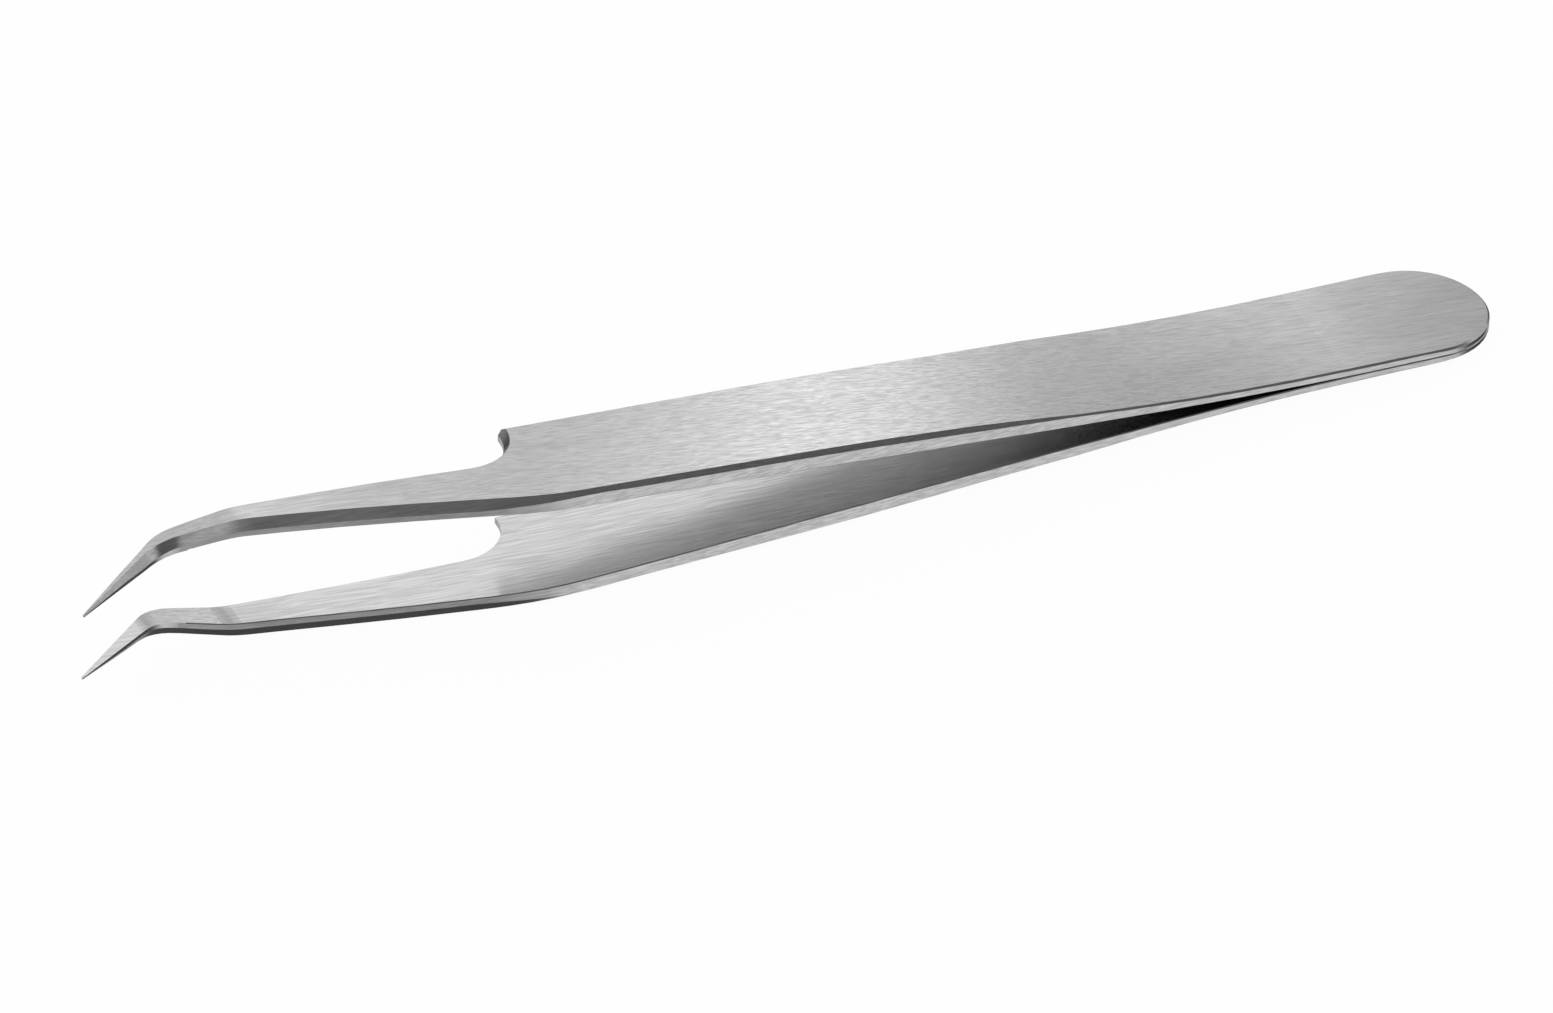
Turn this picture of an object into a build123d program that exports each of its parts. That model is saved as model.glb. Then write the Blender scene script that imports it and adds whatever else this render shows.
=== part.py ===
from build123d import *
from math import atan, degrees
import os

# Fine-point tweezers: two mirror-image blades of forged strip, welded face to face at the rear.
# Sizes are in mm. The upper blade is drawn with its rear end at x = 0, its point at -X, the
# mid-plane of the pair at z = 0 and the near side at -Y. A run is a length along the blade, measured
# on from the run before it, and a height is taken above the mid-plane.

# Outer face: a thin rear end, a hollow, and a flat that the pair lies on. The rest line runs from
# the rear end along that flat, and each depth is measured down from it
outer_rear = 0.50
rest_slope = 0.0522
thin_run, thin_depth = 14.0, 0.59
hollow_run, hollow_depth = 16.0, 0.77
swell_run, swell_depth = 10.0, 0.41
ease_run, ease_depth = 12.0, 0.06
rest_lead, rest_run = 14.0, 12.0
step_lead = 0.4
crest_run, crest_depth = 19.6, 0.54
outer_crest_run = 3.2
knee_run = 10.0
point_run = 7.0
bend_thickness, point_thickness = 1.10, 0.18

# Inner face: flat at the weld, sprung open, then kneed back towards the other blade
weld_run = 11.0
inner_rise_run, inner_rise = 23.0, 0.74
inner_mid_run, inner_mid = 26.0, 2.30
inner_crest_run, inner_crest = 3.6, 3.76
inner_point = 2.62
knee_radius = 9.0

# Plan: handle width, and the narrow front arm with its notch and its sideways bend
rear_width, step_width = 11.4, 10.1
arm_lead = 2.4
near_mid_run, near_mid = 8.0, -3.95
near_late_run, near_late = 10.0, -1.75
bend_lead, bend_slope = 1.0, 0.17
near_bend, far_bend = 0.72, 2.62
bend_run_in, bend_radius = 3.0, 4.0
notch_floor, notch_radius = 0.55, 4.0
point_side, point_width = -4.05, 0.20

# Ground facets: width on the face and height cut from the wall
edge_cut, seam_cut = 0.14, 0.07
facet_lead, facet_fade = 34.0, 10.0
facet_cut, handle_drop = 0.42, 0.30
arm_facet_run = 7.0
arm_wall, point_wall = 0.50, 0.30
thin_wall_share, narrow_cut_share = 0.4, 0.6

# Facet cutters: spacing of their stations, and how far they run past the edge, the ends and the face
handle_pitch, arm_pitch, bend_pitch = 4.0, 1.5, 0.8
cutter_reach, cutter_run_out, cutter_height = 0.5, 1.0, 3.0

# Distances from the rear end
hollow_at = thin_run + hollow_run
swell_at = hollow_at + swell_run
ease_at = swell_at + ease_run
rest_from = ease_at + rest_lead
rest_to = rest_from + rest_run
step_at = rest_to + step_lead
crest_at = step_at + crest_run
knee_end_at = crest_at + knee_run
length = knee_end_at + point_run
bend_at = knee_end_at - bend_lead
inner_rise_at = weld_run + inner_rise_run
inner_mid_at = inner_rise_at + inner_mid_run
arm_from = step_at - arm_lead
near_mid_at = arm_from + near_mid_run
near_late_at = near_mid_at + near_late_run
arm_facet_at = arm_from + arm_facet_run
facet_full = facet_lead + facet_fade
rear_radius = rear_width / 2


def pt(at, other):
    return (-at, other)


def rest_line(at, depth=0.0):
    return pt(at, outer_rear + rest_slope * at - depth)


# Side view of the upper blade
crest_height = rest_line(crest_at, crest_depth)[1]
outer_point = inner_point + point_thickness
inner_face = Spline(pt(weld_run, 0), pt(inner_rise_at, inner_rise), pt(inner_mid_at, inner_mid),
                    pt(crest_at, inner_crest), tangents=((-1, 0), (-1, 0)))
inner_front = FilletPolyline(inner_face @ 1, pt(crest_at + inner_crest_run, inner_crest),
                             pt(knee_end_at, inner_point), pt(length, inner_point), radius=knee_radius)
outer_front = FilletPolyline(pt(length, outer_point), pt(knee_end_at, inner_point + bend_thickness),
                             pt(crest_at + outer_crest_run, crest_height), pt(crest_at, crest_height),
                             radius=knee_radius)
outer_bow = Spline(outer_front @ 1, rest_line(rest_to), tangents=((1, 0), (1, -rest_slope)))
thin_rise = rest_line(0)[1] - rest_line(thin_run, thin_depth)[1]
hollow_face = Spline(rest_line(rest_from), rest_line(ease_at, ease_depth), rest_line(swell_at, swell_depth),
                     rest_line(hollow_at, hollow_depth), rest_line(thin_run, thin_depth),
                     tangents=((1, -rest_slope), (1, thin_rise / thin_run)))
profile = make_face(Plane.XZ * Curve([
    Line(pt(0, 0), pt(weld_run, 0)), inner_face, inner_front,
    Line(pt(length, inner_point), pt(length, outer_point)), outer_front, outer_bow,
    Line(rest_line(rest_to), rest_line(rest_from)), hollow_face,
    Line(rest_line(thin_run, thin_depth), rest_line(0)), Line(rest_line(0), pt(0, 0))]))


# Plan view: the handle with its round rear end, the near side down to the point and back to the notch
def side_line(from_at, to_at, side):
    taper = (rear_width - step_width) / 2 / (step_at - rear_radius)
    ends = [pt(at, side * (rear_radius - taper * (at - rear_radius))) for at in (from_at, to_at)]
    return Line(*ends)


far_edge = side_line(step_at, rear_radius, 1)
rear_end = ThreePointArc(pt(rear_radius, rear_radius), pt(0, 0), pt(rear_radius, -rear_radius))
near_edge = side_line(rear_radius, arm_from, -1)
near_arm = Spline(near_edge @ 1, pt(near_mid_at, near_mid), pt(near_late_at, near_late),
                  pt(bend_at - bend_run_in, near_bend - bend_run_in * bend_slope),
                  tangents=(near_edge % 1, (-1, bend_slope)))
near_point = FilletPolyline(near_arm @ 1, pt(bend_at, near_bend), pt(length, point_side - point_width / 2),
                            radius=bend_radius)
far_point = pt(length, point_side + point_width / 2)
notch_fillet = min(notch_radius, 0.9 * (step_width / 2 - notch_floor))
notch_side = FilletPolyline(far_point, pt(bend_at, far_bend), pt(step_at, notch_floor),
                            pt(step_at, step_width / 2), radius=(bend_radius, notch_fillet))
outline = make_face(Curve([far_edge, rear_end, near_edge, near_arm, near_point,
                           Line(near_point @ 1, far_point), notch_side]))


# Heights of the inner and the outer face at a distance from the rear end
def heights(at):
    at = min(max(at, 0.01), length - 0.01)
    cut = profile & (Plane.XZ * Line(pt(at, -1), pt(at, 2 * crest_height)))
    z = sorted(v.Z for v in cut.vertices())
    return z[0], z[-1]


def blend(at, start, end, from_value, to_value):
    share = min(max((at - start) / (end - start), 0), 1)
    return from_value + (to_value - from_value) * share


# Width and height of each facet at a distance from the rear end
def even_facet(cut):
    return lambda at: (cut, cut)


def handle_facet(at):
    return (blend(at, facet_lead, facet_full, edge_cut / 2, facet_cut),
            blend(at, facet_lead, facet_full, edge_cut / 2, handle_drop))


def arm_facet(at):
    inner, outer = heights(at)
    wall = blend(at, bend_at - bend_run_in, knee_end_at, arm_wall, point_wall)
    drop = outer - inner - min(wall, thin_wall_share * (outer - inner))
    return min(facet_cut, narrow_cut_share * drop), drop


def near_facet(at):
    if at < arm_from:
        return handle_facet(at)
    if at > arm_facet_at:
        return arm_facet(at)
    return facet_cut, blend(at, arm_from, arm_facet_at, handle_drop, arm_facet(arm_facet_at)[1])


# A cutter under a ruled face that joins a line on the wall to a line on the outer or inner face
def facet_cutter(edges, facet_at, up=1):
    run = Wire(edges)
    stops, start = [0], 0
    for edge in run.edges():
        straight_pitch = handle_pitch if -edge.center().X < arm_from else arm_pitch
        pitch = bend_pitch if edge.geom_type == GeomType.CIRCLE else straight_pitch
        count = max(1, round(edge.length / pitch))
        stops += [start + edge.length * (k + 1) / count for k in range(count)]
        start += edge.length
    low, high = [], []
    for stop in stops:
        place = run.position_at(stop, position_mode=PositionMode.LENGTH)
        along = run.tangent_at(stop, position_mode=PositionMode.LENGTH)
        on_face, drop = facet_at(-place.X)
        inset = place + Vector(along.Y, -along.X, 0) * on_face
        face = 1 if up > 0 else 0
        wall_point = Vector(place.X, place.Y, heights(-place.X)[face] - up * drop)
        face_point = Vector(inset.X, inset.Y, heights(-inset.X)[face])
        reach = (face_point - wall_point).normalized() * cutter_reach
        low.append(wall_point - reach)
        high.append(face_point + reach)
    for row in (low, high):
        row.insert(0, row[0] + (row[0] - row[1]).normalized() * cutter_run_out)
        row.append(row[-1] + (row[-1] - row[-2]).normalized() * cutter_run_out)
    ruled = Face.make_surface_from_curves(Edge.make_spline(low), Edge.make_spline(high))
    return extrude(ruled, amount=cutter_height, dir=(0, 0, up))


# The blade is the side view and the plan view carried through each other, then ground
blade = extrude(profile.moved(Location((0, rear_width, 0))), amount=2 * rear_width, dir=(0, -1, 0))
blade &= extrude(outline, amount=2 * crest_height)
rear_run = [side_line(facet_full, rear_radius, 1), rear_end, side_line(rear_radius, facet_full, -1)]
blade -= facet_cutter(rear_run, even_facet(edge_cut))
near_run = [side_line(facet_lead, arm_from, -1), near_arm] + near_point.edges()
blade -= facet_cutter(near_run, near_facet)
blade -= facet_cutter([side_line(step_at, facet_lead, 1)], handle_facet)
blade -= facet_cutter(notch_side.edges(), arm_facet)
for seam_run in ([far_edge], [rear_end], [near_edge, near_arm]):
    blade -= facet_cutter(seam_run, even_facet(seam_cut), up=-1)

# Laid down on the rear end and the flat of the lower blade, with the origin under the middle of the pair
lie_down = degrees(atan(rest_slope))
upper = Rot(0, lie_down, 0) * blade
lower = Rot(0, lie_down, 0) * mirror(blade, about=Plane.XY)
box = Compound([upper, lower]).bounding_box()
to_origin = Pos(-(box.min.X + box.max.X) / 2, -(box.min.Y + box.max.Y) / 2, -box.min.Z)

os.makedirs("parts", exist_ok=True)
for node, piece in (("upper_arm", upper), ("lower_arm", lower)):
    export_step(to_origin * piece, f"parts/{node}.step")
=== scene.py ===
import bpy
import math
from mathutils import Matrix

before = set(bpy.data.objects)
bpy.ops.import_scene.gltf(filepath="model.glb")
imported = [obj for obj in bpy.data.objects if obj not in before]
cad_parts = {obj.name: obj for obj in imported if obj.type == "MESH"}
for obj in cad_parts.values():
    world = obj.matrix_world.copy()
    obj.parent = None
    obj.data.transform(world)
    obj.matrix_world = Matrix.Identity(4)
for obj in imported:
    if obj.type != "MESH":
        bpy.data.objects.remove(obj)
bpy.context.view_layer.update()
scene = bpy.context.scene
scene.view_settings.view_transform = "Standard"
MM = 0.001

# Camera: the photograph's standpoint, a long lens about 1.1 m away
camera_data = bpy.data.cameras.new("camera")
camera_data.sensor_width = 36.0
camera_data.lens = 353.40
camera_data.clip_start = 0.05
camera_data.clip_end = 20.0
camera = bpy.data.objects.new("camera", camera_data)
camera.location = (-0.38692, -0.83614, 0.63556)
camera.rotation_euler = [math.radians(angle) for angle in (55.3616, 0.3970, -25.0717)]
scene.collection.objects.link(camera)
scene.camera = camera


# Node helpers: a value is a number, a vector or the output of another node
def add(tree, kind, inputs=(), **props):
    node = tree.nodes.new(kind)
    for name, value in props.items():
        setattr(node, name, value)
    for key, value in dict(inputs).items():
        if isinstance(value, bpy.types.NodeSocket):
            tree.links.new(value, node.inputs[key])
        else:
            node.inputs[key].default_value = value
    return node


def math_node(tree, operation, *values):
    return add(tree, "ShaderNodeMath", enumerate(values), operation=operation).outputs[0]


def chain(tree, operation, values):
    result = values[0]
    for value in values[1:]:
        result = math_node(tree, operation, result, value)
    return result


def product(tree, *values):
    return chain(tree, "MULTIPLY", values)


def total(tree, *values):
    return chain(tree, "ADD", values)


def vector_node(tree, operation, first, second):
    return add(tree, "ShaderNodeVectorMath", {0: first, 1: second}, operation=operation).outputs[0]


def scaled_colour(tree, colour, factor):
    return add(tree, "ShaderNodeVectorMath", {0: colour, "Scale": factor}, operation="SCALE").outputs[0]


def ramp(tree, value, low, high, to_low=0.0, to_high=1.0, kind="LINEAR"):
    limits = {"Value": value, "From Min": low, "From Max": high, "To Min": to_low, "To Max": to_high}
    return add(tree, "ShaderNodeMapRange", limits, interpolation_type=kind).outputs[0]


# Brushed steel: wavy strokes along the length, finer scratches, and slow clouds of tone
STROKE_TURN = math.radians(-6.3)
STROKE_SHARE = 0.62
STROKE_RANGE = (0.36, 0.64)
CLOUD_RANGE = (0.3, 0.7)

# Size of one stroke, scratch or cloud: along the length, across it and up
STROKE_CELL = (5.0 * MM, 0.16 * MM, 0.16 * MM)
SCRATCH_CELL = (2.4 * MM, 0.08 * MM, 0.08 * MM)
CLOUD_CELL = (9.0 * MM, 2.5 * MM, 2.5 * MM)

# How far the strokes wander off their line, and how often
SWAY = (0.5 * MM, 0.45 * MM, 0.45 * MM)
SWAYS_PER_METRE = 150.0

# How much strokes and clouds change the tone, the roughness and the surface
STROKE_TONE = 0.15
CLOUD_TONE = 0.035
STROKE_ROUGHNESS = 0.02
CLOUD_ROUGHNESS = 0.015
BUMP_STRENGTH = 0.03
BUMP_HEIGHT = 0.02 * MM


def noise(tree, place, cell, detail, rough):
    scaled = vector_node(tree, "MULTIPLY", place, [1.0 / size for size in cell])
    inputs = {"Vector": scaled, "Scale": 1.0, "Detail": detail, "Roughness": rough}
    return add(tree, "ShaderNodeTexNoise", inputs).outputs[0]


def brushed_steel(name, tone, roughness):
    material = bpy.data.materials.new(name)
    material.use_nodes = True
    tree = material.node_tree
    shader = tree.nodes["Principled BSDF"]

    # Places on the steel, swayed a little, then turned so that X runs along the strokes
    place = add(tree, "ShaderNodeTexCoord").outputs["Object"]
    waves = {"Vector": place, "Scale": SWAYS_PER_METRE, "Detail": 2.0}
    wander = add(tree, "ShaderNodeTexNoise", waves).outputs["Color"]
    swayed = vector_node(tree, "ADD", place, vector_node(tree, "MULTIPLY", wander, SWAY))
    turn = {"Vector": swayed, "Angle": -STROKE_TURN}
    turned = add(tree, "ShaderNodeVectorRotate", turn, rotation_type="Z_AXIS").outputs[0]

    # Strokes and scratches mixed, and clouds, each brought to a range from -1 to 1
    strokes = noise(tree, turned, STROKE_CELL, detail=2.0, rough=0.5)
    scratches = noise(tree, turned, SCRATCH_CELL, detail=2.0, rough=0.5)
    clouds = noise(tree, place, CLOUD_CELL, detail=3.0, rough=0.55)
    scratch_part = product(tree, scratches, 1 - STROKE_SHARE)
    mixed = math_node(tree, "MULTIPLY_ADD", strokes, STROKE_SHARE, scratch_part)
    streak = ramp(tree, mixed, *STROKE_RANGE, -1.0, 1.0)
    drift = ramp(tree, clouds, *CLOUD_RANGE, -1.0, 1.0)

    # Tone, roughness and bump
    cloud_shade = math_node(tree, "MULTIPLY_ADD", drift, CLOUD_TONE, 1.0)
    shade = math_node(tree, "MULTIPLY_ADD", streak, STROKE_TONE, cloud_shade)
    tree.links.new(scaled_colour(tree, tone, shade), shader.inputs["Base Color"])
    scuff = ramp(tree, mixed, *STROKE_RANGE, roughness + STROKE_ROUGHNESS, roughness - STROKE_ROUGHNESS)
    gloss = math_node(tree, "MULTIPLY_ADD", drift, CLOUD_ROUGHNESS, scuff)
    tree.links.new(gloss, shader.inputs["Roughness"])
    bump = {"Height": mixed, "Strength": BUMP_STRENGTH, "Distance": BUMP_HEIGHT}
    tree.links.new(add(tree, "ShaderNodeBump", bump).outputs[0], shader.inputs["Normal"])

    # Reflections spread across the strokes
    across = {"X": -math.sin(STROKE_TURN), "Y": math.cos(STROKE_TURN)}
    tree.links.new(add(tree, "ShaderNodeCombineXYZ", across).outputs[0], shader.inputs["Tangent"])
    shader.inputs["Metallic"].default_value = 1.0
    shader.inputs["Anisotropic"].default_value = 0.85
    return material


steel = brushed_steel("steel", tone=(0.635, 0.63, 0.625), roughness=0.19)
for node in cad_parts.values():
    for slot in node.material_slots:
        slot.material = steel


# Pale floor: it glows evenly, and the steel reflects the room in its place
def glowing_paper():
    material = bpy.data.materials.new("paper")
    material.use_nodes = True
    shader = material.node_tree.nodes["Principled BSDF"]
    shader.inputs["Base Color"].default_value = (0.08, 0.08, 0.08, 1)
    shader.inputs["Roughness"].default_value = 0.9
    shader.inputs["Specular IOR Level"].default_value = 0.0
    shader.inputs["Emission Color"].default_value = (1, 1, 1, 1)
    shader.inputs["Emission Strength"].default_value = 0.96
    return material


FLOOR_REACH = 3.0
FLOOR_DROP = 0.2 * MM
corners = [(x * FLOOR_REACH, y * FLOOR_REACH, 0) for x, y in ((-1, -1), (1, -1), (1, 1), (-1, 1))]
floor_mesh = bpy.data.meshes.new("floor")
floor_mesh.from_pydata(corners, [], [(0, 1, 2, 3)])
floor_mesh.materials.append(glowing_paper())
floor = bpy.data.objects.new("floor", floor_mesh)
floor.location.z = -FLOOR_DROP
floor.visible_glossy = False
scene.collection.objects.link(floor)

# Room: a wide soft panel behind, bright paper below, and windows left, right, in front and overhead
world = bpy.data.worlds.new("room")
world.use_nodes = True
scene.world = world
room = world.node_tree
direction = add(room, "ShaderNodeTexCoord").outputs["Generated"]
to_right, to_back, to_top = add(room, "ShaderNodeSeparateXYZ", {0: direction}).outputs
ROOM_COLOUR = (0.985, 0.985, 1.0)
DIM_ROOM = 0.07

# Brightness of the panel from left to right: (direction to the right, radiance)
PANEL = ((-0.75, 0.12), (-0.45, 0.28), (0.05, 0.64), (0.25, 0.78), (0.36, 1.05), (0.395, 0.72),
         (0.42, 0.74), (0.445, 0.46), (0.475, 0.40), (0.50, 0.48), (0.52, 0.38), (0.65, 0.36), (0.90, 0.18))
PANEL_SCALE = 2.0


def fade(value, dark, lit, least=0.0, most=1.0):
    return ramp(room, value, dark, lit, least, most, "SMOOTHSTEP")


def light(*fades, radiance):
    return product(room, *fades, radiance)


def panel_light():
    brightness = add(room, "ShaderNodeValToRGB", {0: ramp(room, to_right, -1.0, 1.0)})
    stops = brightness.color_ramp.elements
    while len(stops) < len(PANEL):
        stops.new(position=0.5)
    for stop, (right, radiance) in zip(stops, PANEL):
        stop.position = (right + 1) / 2
        stop.color = [radiance / PANEL_SCALE] * 3 + [1]
    behind = fade(to_back, dark=0.25, lit=0.55)
    upper = fade(to_top, dark=-0.20, lit=0.10)
    return product(room, brightness.outputs[0], PANEL_SCALE, behind, upper)


# Lights of the room: each fades between two directions, which run from -1 to 1
below = fade(to_top, dark=-0.30, lit=-0.50)
above_floor = fade(to_top, dark=-0.05, lit=0.15)
in_front = fade(to_back, dark=-0.40, lit=-0.70)
paper_glow = fade(to_right, dark=-0.05, lit=0.30, least=0.25, most=0.75)
front_paper = product(room, fade(to_back, dark=-0.35, lit=-0.65), below, paper_glow)
back_paper = product(room, fade(to_back, dark=0.30, lit=0.60, most=0.5), below)
front_room = light(fade(to_back, dark=0.10, lit=-0.20), fade(to_top, dark=0.10, lit=0.30), radiance=DIM_ROOM)
left_window = light(fade(to_right, dark=-0.60, lit=-0.85), above_floor, radiance=0.55)
right_window = light(fade(to_right, dark=0.70, lit=0.90), above_floor, radiance=0.50)
front_left_window = light(fade(to_right, dark=0.04, lit=-0.14), in_front, above_floor, radiance=0.45)
front_right_window = light(fade(to_right, dark=0.52, lit=0.66), in_front, above_floor, radiance=0.55)
overhead_window = fade(to_top, dark=0.93, lit=0.985, most=0.60)
room_light = total(room, panel_light(), front_paper, back_paper, front_room, DIM_ROOM, left_window,
                   right_window, front_left_window, front_right_window, overhead_window)
room.links.new(scaled_colour(room, ROOM_COLOUR, room_light), room.nodes["Background"].inputs["Color"])

# A slim strip lamp close behind the object: its reflection is the soft band across the handle
LAMP_RADIANCE = 1.05
lamp_data = bpy.data.lights.new("strip_lamp", "AREA")
lamp_data.shape = "RECTANGLE"
lamp_data.size = 0.035
lamp_data.size_y = 0.30
lamp_data.energy = LAMP_RADIANCE * math.pi * lamp_data.size * lamp_data.size_y
lamp = bpy.data.objects.new("strip_lamp", lamp_data)
lamp.location = (0.237, 0.370, 0.250)
lamp.rotation_euler = lamp.location.to_track_quat("Z", "Y").to_euler()
scene.collection.objects.link(lamp)
